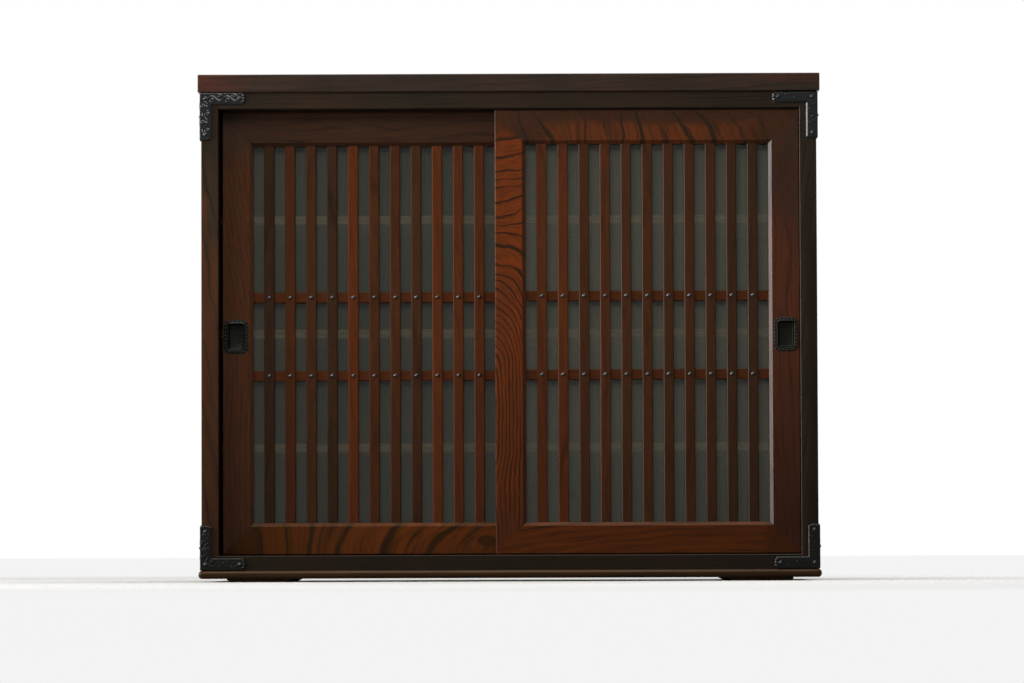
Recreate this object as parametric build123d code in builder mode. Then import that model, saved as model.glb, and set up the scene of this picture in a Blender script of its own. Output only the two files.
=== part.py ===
from build123d import *

import os

# A mizuya: a low kitchen cabinet with two sliding lattice doors.
# Millimetres, +Z up, front towards -Y. The origin is on the floor, in the middle of the footprint.

# ---- Case -------------------------------------------------------------------------------------
case_width = 900.0  # over the two sides
case_depth = 390.0
side_thickness = 25.0
opening_height = 653.0  # from the top of the sill to the underside of the case top rail
top_rail_height = 24.5
sill_height = 21.5
top_board_thickness = 26.0
top_board_overhang = 5.0  # on all four sides
top_board_round = 1.5
bottom_board_thickness = 12.0
bottom_board_overhang = 4.5
nosing_flat = 1.2  # left between the two rounds of the nosing
arris = 1.0  # small bevel on the long edges of the case and the doors

back_panel_thickness = 6.0
back_rebate_width = 10.0

case_tenon_length = 12.0
case_tenon_thickness = 8.0
case_tenon_inset = 12.0  # from the front and the back of the rail
top_rail_tenon_drop = 2.0  # from the top of the rail
sill_tenon_rise = 5.0  # from the bottom of the sill

runner_width = 96.0
runner_thickness = 5.0
runner_end_gap = 40.5  # from the end of the bottom board
runner_front_inset = 15.0  # from the front of the case, and from its back
runner_bevel_width = 7.0
runner_bevel_height = 3.0

# ---- Shelves ----------------------------------------------------------------------------------
shelf_names = ("lower_shelf", "middle_shelf", "upper_shelf")
shelf_thickness = 13.0
lowest_shelf_rise = 186.0  # top of the lowest shelf above the bottom board
shelf_pitch = 168.0
shelf_end_clearance = 0.5
shelf_front_gap = 7.0  # behind the tracks
cleat_thickness = 15.0
cleat_height = 18.0
cleat_front_inset = 20.0

# ---- Tracks and doors -------------------------------------------------------------------------
door_thickness = 24.0
door_setback = 3.0  # front door behind the face of the case
door_gap = 3.0  # between the two doors
track_rear_lip = 6.0
tongue_thickness = 10.0
tongue_side_clearance = 0.75
top_groove_depth = 13.0
lift_clearance = 3.5  # above the top tongue, so that a door lifts out of the bottom groove
bottom_groove_depth = 3.0
track_running_gap = 0.3
top_shoulder_gap = 3.5
bottom_shoulder_gap = 2.5
left_door_end_gap = 4.4  # the left door stands this far from its side when the stiles line up
right_door_end_gap = 0.5

frame_width = 45.0  # stiles and bottom rail
top_rail_extra = 3.5  # the top rail is this much wider than the stiles
frame_chamfer = 5.0  # round the front of the lattice opening
door_tenon_length = 28.0
door_tenon_thickness = 8.0
door_tenon_setback = 7.0
door_tenon_shoulder = 8.0

bead_thickness = 3.0  # behind the glass, flush with the back of the door
bead_end_clearance = 0.3
glass_thickness = 3.0
glass_rebate = 7.0
glass_clearance = 0.5

# ---- Lattice ----------------------------------------------------------------------------------
bar_count = 11
bar_width = 15.0
bar_depth = 8.0
bar_lead = 3.5  # face of the bars in front of the face of the lattice rails
bar_chamfer = 1.2
lattice_rail_height = 15.0
lattice_rail_depth = 7.0
lattice_glass_gap = 2.5  # between the lattice rails and the glass
lattice_rail_chamfer = 0.8
upper_lattice_rise = 331.0  # middle of the rail above the bottom of the lattice opening
lower_lattice_rise = 216.0
stub_length = 5.0
stub_shoulder = 1.5

stud_radius = 3.2
stud_height = 2.2
stud_shank_radius = 1.0
stud_shank_entry = 4.0  # into the lattice rail
hole_clearance = 0.05

# ---- Pulls ------------------------------------------------------------------------------------
pull_width = 36.0
pull_height = 50.0
pull_round = 10.0
pull_flange_thickness = 1.4
pull_rise = 318.5  # middle of the pull above the bottom of the door
pull_rim_width = 5.5  # from the edge of the flange to the mouth of the cup
cup_round = 6.5
cup_depth = 10.0
cup_wall = 1.5
cup_draft_inset = 2.5  # the floor of the cup is this much smaller all round than its mouth

# ---- Corner irons -----------------------------------------------------------------------------
iron_thickness = 3.0
iron_leg_width = 18.0
iron_front_length = 68.0
iron_side_length = 60.0
top_iron_height = 71.0
bottom_iron_height = 66.0
iron_end_round = 4.0
iron_fold_round = 1.8
nail_head_radius = 1.9
nail_head_height = 1.1
nail_shank_radius = 0.8
nail_entry = 6.0  # into the wood

# ---- Worked out from the values above ---------------------------------------------------------
bottom_board_z = runner_thickness
floor_z = bottom_board_z + bottom_board_thickness
nosing_round = (bottom_board_thickness - nosing_flat) / 2
sill_top_z = floor_z + sill_height
rail_bottom_z = sill_top_z + opening_height
ceiling_z = rail_bottom_z + top_rail_height

front_y = -case_depth / 2
back_y = case_depth / 2
inner_x = case_width / 2 - side_thickness
outer_x = case_width / 2
runner_centre = outer_x + bottom_board_overhang - runner_end_gap - runner_width / 2
back_panel_y = back_y - back_panel_thickness

track_depth = door_setback + 2 * door_thickness + door_gap + track_rear_lip
track_back_y = front_y + track_depth
groove_width = tongue_thickness + 2 * tongue_side_clearance

shelf_front_y = track_back_y + shelf_front_gap

right_door_y = front_y + door_setback
left_door_y = right_door_y + door_thickness + door_gap
door_width = (2 * inner_x - left_door_end_gap - right_door_end_gap + frame_width) / 2
left_door_x = -inner_x + left_door_end_gap
right_door_x = inner_x - right_door_end_gap - door_width

face_bottom_z = sill_top_z + bottom_shoulder_gap
face_top_z = rail_bottom_z - top_shoulder_gap
tongue_bottom_z = sill_top_z - bottom_groove_depth + track_running_gap
tongue_top_z = rail_bottom_z + top_groove_depth - lift_clearance
sight_bottom_z = face_bottom_z + frame_width
sight_top_z = face_top_z - top_rail_extra - frame_width
sight_width = door_width - 2 * frame_width
bar_pitch = (sight_width + bar_width) / (bar_count + 1)
glass_setback = door_thickness - bead_thickness - glass_thickness
lattice_rail_setback = glass_setback - lattice_glass_gap - lattice_rail_depth
bar_setback = lattice_rail_setback - bar_lead
lattice_z = {
    "lower_lattice_rail": sight_bottom_z + lower_lattice_rise,
    "upper_lattice_rail": sight_bottom_z + upper_lattice_rise,
}
pull_z = face_bottom_z + pull_rise
cup_width = pull_width - 2 * pull_rim_width
cup_height = pull_height - 2 * pull_rim_width
nail_inset = iron_leg_width / 2  # nails lie on the middle line of each leg

os.makedirs("parts", exist_ok=True)


def save(piece, name):
    """Labels a finished piece and writes it."""
    piece.part.label = name
    export_step(piece.part, f"parts/{name}.step")


def block(x, y, z, mode=Mode.ADD):
    """A box between the two limits given for each axis."""
    with Locations((sum(x) / 2, sum(y) / 2, sum(z) / 2)):
        Box(x[1] - x[0], y[1] - y[0], z[1] - z[0], mode=mode)


def rod_y(x, y, z, radius, mode=Mode.SUBTRACT):
    """A round rod along Y between the two limits in y."""
    with Locations(Location((x, sum(y) / 2, z), (90, 0, 0))):
        Cylinder(radius, y[1] - y[0], mode=mode)


def rod_x(x, y, z, radius, mode=Mode.SUBTRACT):
    """A round rod along X between the two limits in x."""
    with Locations(Location((sum(x) / 2, y, z), (0, 90, 0))):
        Cylinder(radius, abs(x[1] - x[0]), mode=mode)


def facing_front(y):
    """The plane at this depth, drawn in X and Z. A negative extrusion goes back from it."""
    return Plane.XZ.offset(-y)


# ---- Nails of the corner irons ----------------------------------------------------------------
iron_x = outer_x + iron_thickness
iron_y = front_y - iron_thickness
nail_hole_radius = nail_shank_radius + hole_clearance
iron_rows = {
    "top": (ceiling_z, -1, top_iron_height),
    "bottom": (floor_z, 1, bottom_iron_height),
}


def front_nails(side, row):
    """X and Z of the nails in the front face of one corner iron."""
    corner_z, inward, height = iron_rows[row]
    near_z = corner_z + inward * nail_inset
    far_z = corner_z + inward * (height - nail_inset)
    edge_x = side * (iron_x - nail_inset)
    end_x = side * (iron_x - iron_front_length + nail_inset)
    return [(edge_x, near_z), (end_x, near_z), (edge_x, far_z)]


def side_nails(row):
    """Y and Z of the nails in the side face of one corner iron."""
    corner_z, inward, height = iron_rows[row]
    near_z = corner_z + inward * nail_inset
    middle_z = corner_z + inward * height / 2
    return [(iron_y + iron_side_length - nail_inset, near_z), (iron_y + nail_inset, middle_z)]


def drill_front_nails(side, row, nearest, furthest):
    """Holes in the wood for the front nails of an iron between two distances from the middle."""
    for x, z in front_nails(side, row):
        if nearest < abs(x) < furthest:
            rod_y(x, (front_y, front_y + nail_entry), z, nail_hole_radius)


def drill_side_nails(side, row):
    """Holes in the side board for the side nails of an iron."""
    for y, z in side_nails(row):
        rod_x((side * outer_x, side * (outer_x - nail_entry)), y, z, nail_hole_radius)


# ---- Case -------------------------------------------------------------------------------------
with BuildPart() as top_board:
    half_width = outer_x + top_board_overhang
    half_depth = case_depth / 2 + top_board_overhang
    block((-half_width, half_width), (-half_depth, half_depth),
          (ceiling_z, ceiling_z + top_board_thickness))
    fillet(top_board.edges(), top_board_round)
save(top_board, "top_board")

with BuildPart() as bottom_board:
    half_width = outer_x + bottom_board_overhang
    half_depth = case_depth / 2 + bottom_board_overhang
    block((-half_width, half_width), (-half_depth, half_depth), (bottom_board_z, floor_z))
    corners = bottom_board.edges().filter_by(Axis.Z)
    fillet(corners, nosing_round)
    rims = bottom_board.faces().filter_by(Axis.Z).edges()
    fillet(rims, nosing_round)
save(bottom_board, "bottom_board")


def case_tenon(side, height, mode=Mode.ADD):
    """The tenon at one end of a case rail, or the mortise that takes it."""
    x = sorted((side * inner_x, side * (inner_x + case_tenon_length)))
    y = (front_y + case_tenon_inset, track_back_y - case_tenon_inset)
    block(x, y, height, mode)


top_tenon_z = (
    ceiling_z - top_rail_tenon_drop - case_tenon_thickness,
    ceiling_z - top_rail_tenon_drop,
)
sill_tenon_z = (floor_z + sill_tenon_rise, floor_z + sill_tenon_rise + case_tenon_thickness)

for side, name in ((-1, "left_side"), (1, "right_side")):
    with BuildPart() as side_board:
        x = sorted((side * inner_x, side * outer_x))
        block(x, (front_y, back_y), (floor_z, ceiling_z))
        chamfer(side_board.edges().filter_by(Axis.Z).group_by(Axis.Y)[0], arris)
        rebate_x = sorted((side * inner_x, side * (inner_x + back_rebate_width)))
        block(rebate_x, (back_panel_y, back_y), (floor_z, ceiling_z), Mode.SUBTRACT)
        case_tenon(side, top_tenon_z, Mode.SUBTRACT)
        case_tenon(side, sill_tenon_z, Mode.SUBTRACT)
        for row in iron_rows:
            drill_front_nails(side, row, inner_x, outer_x)
            drill_side_nails(side, row)
    save(side_board, name)

with BuildPart() as back_panel:
    panel_x = inner_x + back_rebate_width
    block((-panel_x, panel_x), (back_panel_y, back_y), (floor_z, ceiling_z))
save(back_panel, "back_panel")


def cut_grooves(depth_z):
    """The two door grooves, between the limits given in z."""
    for door_y in (right_door_y, left_door_y):
        middle = door_y + door_thickness / 2
        groove = (middle - groove_width / 2, middle + groove_width / 2)
        block((-inner_x, inner_x), groove, depth_z, Mode.SUBTRACT)


with BuildPart() as case_top_rail:
    block((-inner_x, inner_x), (front_y, track_back_y), (rail_bottom_z, ceiling_z))
    chamfer(case_top_rail.edges().filter_by(Axis.X).group_by(Axis.Y)[0].sort_by(Axis.Z)[0], arris)
    cut_grooves((rail_bottom_z, rail_bottom_z + top_groove_depth))
    for side in (-1, 1):
        case_tenon(side, top_tenon_z)
        drill_front_nails(side, "top", 0, inner_x)
save(case_top_rail, "case_top_rail")

with BuildPart() as sill:
    block((-inner_x, inner_x), (front_y, track_back_y), (floor_z, sill_top_z))
    chamfer(sill.edges().filter_by(Axis.X).group_by(Axis.Y)[0].sort_by(Axis.Z)[-1], arris)
    cut_grooves((sill_top_z - bottom_groove_depth, sill_top_z))
    for side in (-1, 1):
        case_tenon(side, sill_tenon_z)
        drill_front_nails(side, "bottom", 0, inner_x)
save(sill, "sill")

for side, name in ((-1, "left_runner"), (1, "right_runner")):
    with BuildPart() as runner:
        low = side * runner_centre - runner_width / 2
        high = low + runner_width
        with BuildSketch(facing_front(front_y + runner_front_inset)):
            with BuildLine():
                Polyline(
                    (low, runner_thickness),
                    (low, runner_bevel_height),
                    (low + runner_bevel_width, 0),
                    (high - runner_bevel_width, 0),
                    (high, runner_bevel_height),
                    (high, runner_thickness),
                    close=True,
                )
            make_face()
        extrude(amount=-(case_depth - 2 * runner_front_inset))
    save(runner, name)

shelf_tops = [floor_z + lowest_shelf_rise + step * shelf_pitch for step in range(len(shelf_names))]
for name, shelf_top in zip(shelf_names, shelf_tops):
    with BuildPart() as shelf:
        shelf_x = inner_x - shelf_end_clearance
        block((-shelf_x, shelf_x), (shelf_front_y, back_panel_y),
              (shelf_top - shelf_thickness, shelf_top))
        chamfer(shelf.edges().filter_by(Axis.X).group_by(Axis.Y)[0], arris)
    save(shelf, name)

with BuildPart() as shelf_cleats:
    for shelf_top in shelf_tops:
        cleat_top = shelf_top - shelf_thickness
        for side in (-1, 1):
            x = sorted((side * inner_x, side * (inner_x - cleat_thickness)))
            block(x, (shelf_front_y + cleat_front_inset, back_panel_y),
                  (cleat_top - cleat_height, cleat_top))
save(shelf_cleats, "shelf_cleats")


# ---- Corner irons and their nails -------------------------------------------------------------
def iron_points(corner, across, inward, length, height):
    """An L of two legs from its outer corner. across and inward are the signs of its two legs."""
    u, v = corner
    return [
        (u, v),
        (u + across * length, v),
        (u + across * length, v + inward * iron_leg_width),
        (u + across * iron_leg_width, v + inward * iron_leg_width),
        (u + across * iron_leg_width, v + inward * height),
        (u, v + inward * height),
    ]


def corner_iron(side, row):
    """One corner iron: an L on the front of the case and an L on its side, in one piece."""
    corner_z, inward, height = iron_rows[row]
    with BuildPart() as iron:
        with BuildSketch(facing_front(iron_y)) as front_leaf:
            corner = (side * iron_x, corner_z)
            Polygon(*iron_points(corner, -side, inward, iron_front_length, height), align=None)
            from_left = front_leaf.vertices().sort_by(Axis.X)
            fillet(from_left[:2] if side > 0 else from_left[-2:], iron_end_round)
        extrude(front_leaf.sketch, amount=-iron_thickness)
        side_plane = Plane(origin=(side * outer_x, 0, 0), x_dir=(0, 1, 0), z_dir=(1, 0, 0))
        with BuildSketch(side_plane) as side_leaf:
            corner = (iron_y, corner_z)
            Polygon(*iron_points(corner, 1, inward, iron_side_length, height), align=None)
            fillet(side_leaf.vertices().sort_by(Axis.Y)[-2:], iron_end_round)
        extrude(side_leaf.sketch, amount=side * iron_thickness)
        fold = iron.edges().filter_by(Axis.Z).group_by(Axis.Y)[0]
        fold = fold.sort_by(Axis.X)[-1 if side > 0 else 0]
        fillet(fold, iron_fold_round)
        for nail_x, nail_z in front_nails(side, row):
            rod_y(nail_x, (iron_y, front_y), nail_z, nail_hole_radius)
        for nail_y, nail_z in side_nails(row):
            rod_x((side * iron_x, side * outer_x), nail_y, nail_z, nail_hole_radius)
    return iron


for side, side_name in ((-1, "left"), (1, "right")):
    for row in iron_rows:
        save(corner_iron(side, row), f"{row}_{side_name}_corner_iron")


def domed_pin(head_radius, head_height, shank_radius, shank_length):
    """A nail with a domed head that stands out along -Y from y = 0, and its shank behind it."""
    sphere_radius = (head_radius**2 + head_height**2) / (2 * head_height)
    with BuildPart() as pin:
        with BuildSketch(Plane.XY) as half:
            with BuildLine():
                Line((0, -head_height), (0, shank_length))
                Line((0, shank_length), (shank_radius, shank_length))
                Line((shank_radius, shank_length), (shank_radius, 0))
                Line((shank_radius, 0), (head_radius, 0))
                RadiusArc((head_radius, 0), (0, -head_height), sphere_radius)
            make_face()
        revolve(half.sketch, axis=Axis.Y)
    return pin.part


nail = domed_pin(nail_head_radius, nail_head_height, nail_shank_radius,
                 iron_thickness + nail_entry)
front_places = []
side_places = []
for side in (-1, 1):
    for row in iron_rows:
        front_places += [Location((x, iron_y, z)) for x, z in front_nails(side, row)]
        side_places += [
            Location((side * iron_x, y, z), (0, 0, side * 90)) for y, z in side_nails(row)
        ]
with BuildPart() as iron_nails:
    with Locations(*front_places, *side_places):
        add(nail)
save(iron_nails, "iron_nails")


# ---- Doors ------------------------------------------------------------------------------------
stud = domed_pin(stud_radius, stud_height, stud_shank_radius,
                 lattice_rail_setback - bar_setback + stud_shank_entry)


class Door:
    """The places that the pieces of one door share."""

    def __init__(self, name, left_x, front, pull_side):
        self.name = name
        self.left = left_x
        self.right = left_x + door_width
        self.front = front
        self.sight_left = self.left + frame_width
        self.sight_right = self.right - frame_width
        self.pull_side = pull_side
        edge = self.left if pull_side < 0 else self.right
        self.pull_x = edge - pull_side * (frame_width - frame_chamfer) / 2
        self.bars = [
            self.sight_left + (place + 1) * bar_pitch - bar_width / 2 for place in range(bar_count)
        ]

    def depth(self, near, far):
        """Two depths behind the door's front face, in y."""
        return (self.front + near, self.front + far)

    def save(self, piece, name):
        save(piece, f"{self.name}_{name}")


def slab(door, points):
    """A flat piece as thick as the door, with the given outline in X and Z."""
    with BuildSketch(facing_front(door.front)) as outline:
        with BuildLine():
            Polyline(*points, close=True)
        make_face()
    extrude(outline.sketch, amount=-door_thickness)


def chamfer_front(piece, axis, nearest, size):
    """Bevels the front edge of a piece along axis that lies nearest to a place across it."""
    across = 2 if axis == Axis.X else 0
    front = piece.edges().filter_by(axis).group_by(Axis.Y)[0]
    edge = min(front, key=lambda e: abs(tuple(e.center())[across] - nearest))
    chamfer(edge, size)


def cut_glass_rebate(door):
    block(
        (door.sight_left - glass_rebate, door.sight_right + glass_rebate),
        door.depth(glass_setback, door_thickness),
        (sight_bottom_z - glass_rebate, sight_top_z + glass_rebate),
        Mode.SUBTRACT,
    )


def rail_tenon(door, side, sight_z, outward, mode=Mode.ADD):
    """The tenon of a door rail across the mitre, or its mortise. outward is away from the glass."""
    inner = door.sight_left if side < 0 else door.sight_right
    x = sorted((inner, inner + side * door_tenon_length))
    z = sorted((sight_z + outward * door_tenon_shoulder,
                sight_z + outward * (frame_width - door_tenon_shoulder)))
    block(x, door.depth(door_tenon_setback, door_tenon_setback + door_tenon_thickness), z, mode)


def bar_stub(door, bar_x, sight_z, outward, mode=Mode.ADD):
    """The stub at one end of a lattice bar, or its mortise in the rail."""
    half = bar_width / 2 - stub_shoulder
    z = sorted((sight_z, sight_z + outward * stub_length))
    depth = door.depth(bar_setback + stub_shoulder, bar_setback + bar_depth - stub_shoulder)
    block((bar_x - half, bar_x + half), depth, z, mode)


def lattice_stub(door, side, rail_z, mode=Mode.ADD):
    """The stub at one end of a lattice rail, or its mortise in the stile."""
    inner = door.sight_left if side < 0 else door.sight_right
    half = lattice_rail_height / 2 - stub_shoulder
    x = sorted((inner, inner + side * stub_length))
    depth = door.depth(lattice_rail_setback + stub_shoulder,
                       lattice_rail_setback + lattice_rail_depth - stub_shoulder)
    block(x, depth, (rail_z - half, rail_z + half), mode)


def make_stile(door, side):
    outer = door.left if side < 0 else door.right
    inner = door.sight_left if side < 0 else door.sight_right
    with BuildPart() as stile:
        slab(door, [
            (outer, face_bottom_z),
            (inner, sight_bottom_z),
            (inner, sight_top_z),
            (outer, sight_top_z + frame_width),
        ])
        chamfer_front(stile, Axis.Z, inner, frame_chamfer)
        chamfer_front(stile, Axis.Z, outer, arris)
        cut_glass_rebate(door)
        rail_tenon(door, side, sight_bottom_z, -1, Mode.SUBTRACT)
        rail_tenon(door, side, sight_top_z, 1, Mode.SUBTRACT)
        for rail_z in lattice_z.values():
            lattice_stub(door, side, rail_z, Mode.SUBTRACT)
        if side == door.pull_side:
            with BuildSketch(facing_front(door.front)) as pocket:
                with Locations((door.pull_x, pull_z)):
                    RectangleRounded(cup_width + 2 * cup_wall, cup_height + 2 * cup_wall,
                                     cup_round + cup_wall)
            extrude(pocket.sketch, amount=-(cup_depth + cup_wall), mode=Mode.SUBTRACT)
    return stile


def make_bottom_rail(door):
    with BuildPart() as rail:
        slab(door, [
            (door.left, face_bottom_z),
            (door.right, face_bottom_z),
            (door.sight_right, sight_bottom_z),
            (door.sight_left, sight_bottom_z),
        ])
        chamfer_front(rail, Axis.X, sight_bottom_z, frame_chamfer)
        cut_glass_rebate(door)
        middle = door_thickness / 2
        block((door.left, door.right),
              door.depth(middle - tongue_thickness / 2, middle + tongue_thickness / 2),
              (tongue_bottom_z, face_bottom_z))
        for side in (-1, 1):
            rail_tenon(door, side, sight_bottom_z, -1)
        for bar_x in door.bars:
            bar_stub(door, bar_x, sight_bottom_z, -1, Mode.SUBTRACT)
    return rail


def make_top_rail(door):
    with BuildPart() as rail:
        slab(door, [
            (door.sight_left, sight_top_z),
            (door.sight_right, sight_top_z),
            (door.right, sight_top_z + frame_width),
            (door.right, face_top_z),
            (door.left, face_top_z),
            (door.left, sight_top_z + frame_width),
        ])
        chamfer_front(rail, Axis.X, sight_top_z, frame_chamfer)
        for outer in (door.left, door.right):
            chamfer_front(rail, Axis.Z, outer, arris)
        cut_glass_rebate(door)
        middle = door_thickness / 2
        block((door.left, door.right),
              door.depth(middle - tongue_thickness / 2, middle + tongue_thickness / 2),
              (face_top_z, tongue_top_z))
        for side in (-1, 1):
            rail_tenon(door, side, sight_top_z, 1)
        for bar_x in door.bars:
            bar_stub(door, bar_x, sight_top_z, 1, Mode.SUBTRACT)
    return rail


def make_lattice_rail(door, rail_z):
    half = lattice_rail_height / 2
    with BuildPart() as rail:
        block(
            (door.sight_left, door.sight_right),
            door.depth(lattice_rail_setback, lattice_rail_setback + lattice_rail_depth),
            (rail_z - half, rail_z + half),
        )
        chamfer(rail.edges().filter_by(Axis.X).group_by(Axis.Y)[0], lattice_rail_chamfer)
        for side in (-1, 1):
            lattice_stub(door, side, rail_z)
        for bar_x in door.bars:
            depth = door.depth(lattice_rail_setback, lattice_rail_setback + stud_shank_entry)
            rod_y(bar_x, depth, rail_z, stud_shank_radius + hole_clearance)
    return rail


def make_bar(door, bar_x):
    half = bar_width / 2
    with BuildPart() as bar:
        block((bar_x - half, bar_x + half), door.depth(bar_setback, bar_setback + bar_depth),
              (sight_bottom_z, sight_top_z))
        chamfer(bar.edges().filter_by(Axis.Z).group_by(Axis.Y)[0], bar_chamfer)
        bar_stub(door, bar_x, sight_bottom_z, -1)
        bar_stub(door, bar_x, sight_top_z, 1)
        for rail_z in lattice_z.values():
            lap = (rail_z - lattice_rail_height / 2, rail_z + lattice_rail_height / 2)
            block((bar_x - half, bar_x + half),
                  door.depth(lattice_rail_setback, bar_setback + bar_depth), lap, Mode.SUBTRACT)
            rod_y(bar_x, door.depth(bar_setback, lattice_rail_setback), rail_z,
                  stud_shank_radius + hole_clearance)
    return bar


def make_glass(door):
    reach = glass_rebate - glass_clearance
    with BuildPart() as glass:
        block(
            (door.sight_left - reach, door.sight_right + reach),
            door.depth(glass_setback, glass_setback + glass_thickness),
            (sight_bottom_z - reach, sight_top_z + reach),
        )
    return glass


def make_glazing_beads(door):
    """Four beads behind the glass: two along the rails, and two between them up the stiles."""
    depth = door.depth(glass_setback + glass_thickness, door_thickness)
    rebate_left = door.sight_left - glass_rebate
    rebate_right = door.sight_right + glass_rebate
    upright = (sight_bottom_z + bead_end_clearance, sight_top_z - bead_end_clearance)
    with BuildPart() as beads:
        block((rebate_left, rebate_right), depth, (sight_top_z, sight_top_z + glass_rebate))
        block((rebate_left, rebate_right), depth, (sight_bottom_z - glass_rebate, sight_bottom_z))
        block((rebate_left, door.sight_left), depth, upright)
        block((door.sight_right, rebate_right), depth, upright)
    return beads


def make_studs(door):
    places = [
        Location((bar_x, door.front + bar_setback, rail_z))
        for rail_z in lattice_z.values()
        for bar_x in door.bars
    ]
    with BuildPart() as studs:
        with Locations(*places):
            add(stud)
    return studs


def make_pull(door):
    """A cup let into the stile, with a flat rim that lies on the stile's face."""
    with BuildPart() as pull:
        with BuildSketch(facing_front(door.front)) as rim:
            with Locations((door.pull_x, pull_z)):
                RectangleRounded(pull_width, pull_height, pull_round)
        extrude(rim.sketch, amount=pull_flange_thickness)
        with BuildSketch(facing_front(door.front)) as cup:
            with Locations((door.pull_x, pull_z)):
                RectangleRounded(cup_width + 2 * cup_wall, cup_height + 2 * cup_wall,
                                 cup_round + cup_wall)
        extrude(cup.sketch, amount=-(cup_depth + cup_wall))
        with BuildSketch(facing_front(door.front - pull_flange_thickness)) as mouth:
            with Locations((door.pull_x, pull_z)):
                RectangleRounded(cup_width, cup_height, cup_round)
        with BuildSketch(facing_front(door.front + cup_depth)) as cup_floor:
            with Locations((door.pull_x, pull_z)):
                RectangleRounded(cup_width - 2 * cup_draft_inset, cup_height - 2 * cup_draft_inset,
                                 cup_round - cup_draft_inset)
        loft([mouth.sketch, cup_floor.sketch], mode=Mode.SUBTRACT)
    return pull


for door in (
    Door("left_door", left_door_x, left_door_y, -1),
    Door("right_door", right_door_x, right_door_y, 1),
):
    door.save(make_stile(door, -1), "left_stile")
    door.save(make_stile(door, 1), "right_stile")
    door.save(make_bottom_rail(door), "bottom_rail")
    door.save(make_top_rail(door), "top_rail")
    door.save(make_glass(door), "glass")
    door.save(make_glazing_beads(door), "glazing_beads")
    for rail_name, rail_z in lattice_z.items():
        door.save(make_lattice_rail(door, rail_z), rail_name)
    for number, bar_x in enumerate(door.bars, start=1):
        door.save(make_bar(door, bar_x), f"bar_{number}")
    door.save(make_studs(door), "studs")
    door.save(make_pull(door), "pull")
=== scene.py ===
import math
import random

import bpy
import numpy as np
from mathutils import Matrix, Vector


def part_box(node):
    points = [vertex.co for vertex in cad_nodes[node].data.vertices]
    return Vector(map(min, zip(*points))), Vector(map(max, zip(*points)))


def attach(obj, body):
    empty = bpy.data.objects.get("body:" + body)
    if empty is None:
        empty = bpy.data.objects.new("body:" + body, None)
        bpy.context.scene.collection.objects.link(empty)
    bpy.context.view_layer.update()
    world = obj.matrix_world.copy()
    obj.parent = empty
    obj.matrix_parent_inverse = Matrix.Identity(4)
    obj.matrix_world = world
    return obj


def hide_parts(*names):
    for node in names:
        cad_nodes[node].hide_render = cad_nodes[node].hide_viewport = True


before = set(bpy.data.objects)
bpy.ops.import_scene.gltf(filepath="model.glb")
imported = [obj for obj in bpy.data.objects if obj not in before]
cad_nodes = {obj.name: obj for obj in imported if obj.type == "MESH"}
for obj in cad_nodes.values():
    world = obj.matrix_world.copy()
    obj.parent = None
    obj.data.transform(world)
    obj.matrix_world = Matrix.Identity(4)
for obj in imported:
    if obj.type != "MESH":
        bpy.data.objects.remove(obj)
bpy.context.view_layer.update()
MM_PER_METRE = 1000
MM = 1 / MM_PER_METRE
WHITE = (1.0, 1.0, 1.0, 1.0)
MIX_COLOUR_INPUTS = (6, 7)
MIX_COLOUR_OUTPUT = 2


def front_of(node):
    """How far forward a CAD node reaches at rest, in millimetres."""
    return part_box(node)[0].y * MM_PER_METRE


def box_mm(node):
    """The lowest and the highest corner of a CAD node at rest, in millimetres."""
    return [corner * MM_PER_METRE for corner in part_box(node)]


# ---- Camera: just above the floor, level with the foot of the cabinet, looking slightly up ----
PHOTO_WIDTH_PX = 1024
FOCAL_LENGTH_PX = 5003
SENSOR_MM = 36
CAMERA_PLACE = (0.0038, -7.495, 0.040)  # metres
CAMERA_RISE = math.radians(2.431)
CAMERA_ROLL = 0.0035

camera_data = bpy.data.cameras.new("camera")
camera_data.sensor_width = SENSOR_MM
camera_data.lens = FOCAL_LENGTH_PX * SENSOR_MM / PHOTO_WIDTH_PX
camera_data.clip_start = 0.05
camera_data.clip_end = 200
camera = bpy.data.objects.new("camera", camera_data)
camera.matrix_world = (
    Matrix.Translation(CAMERA_PLACE)
    @ Matrix.Rotation(math.pi / 2 + CAMERA_RISE, 4, "X")
    @ Matrix.Rotation(-CAMERA_ROLL, 4, "Z")
)
bpy.context.scene.collection.objects.link(camera)
bpy.context.scene.camera = camera
bpy.context.scene.view_settings.view_transform = "Standard"


# ---- Lamps ----
def softbox(name, place, target, size, power, glints=True):
    """A rectangular lamp in metres and watts. Without glints it isn't seen in reflections."""
    data = bpy.data.lights.new(name, "AREA")
    data.shape = "RECTANGLE"
    data.size, data.size_y = size
    data.energy = power
    lamp = bpy.data.objects.new(name, data)
    lamp.visible_camera = False
    lamp.visible_glossy = glints
    lamp.location = place
    aim = Vector(target) - Vector(place)
    lamp.rotation_mode = "QUATERNION"
    lamp.rotation_quaternion = aim.to_track_quat("-Z", "Y")
    bpy.context.scene.collection.objects.link(lamp)


# name, place, target, width and height, power
softbox("window", (-3.0, -0.75, 0.95), (0.0, -0.3, 0.5), (0.9, 1.8), 95)
softbox("key", (-0.2, -1.75, 1.7), (0.0, -0.2, 0.5), (1.3, 0.7), 13)
softbox("left_key", (-2.4, -2.0, 0.8), (0.0, -0.2, 0.5), (1.2, 1.0), 22)
softbox("overhead", (0.2, -0.5, 3.0), (0.0, -0.1, 0.4), (1.8, 1.2), 26)
softbox("right_fill", (3.2, 0.5, 1.2), (0.3, 0.1, 0.4), (1.2, 1.2), 45, glints=False)
softbox("back_fill", (2.2, 2.6, 1.8), (0.0, 0.1, 0.4), (1.6, 1.6), 60, glints=False)


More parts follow.
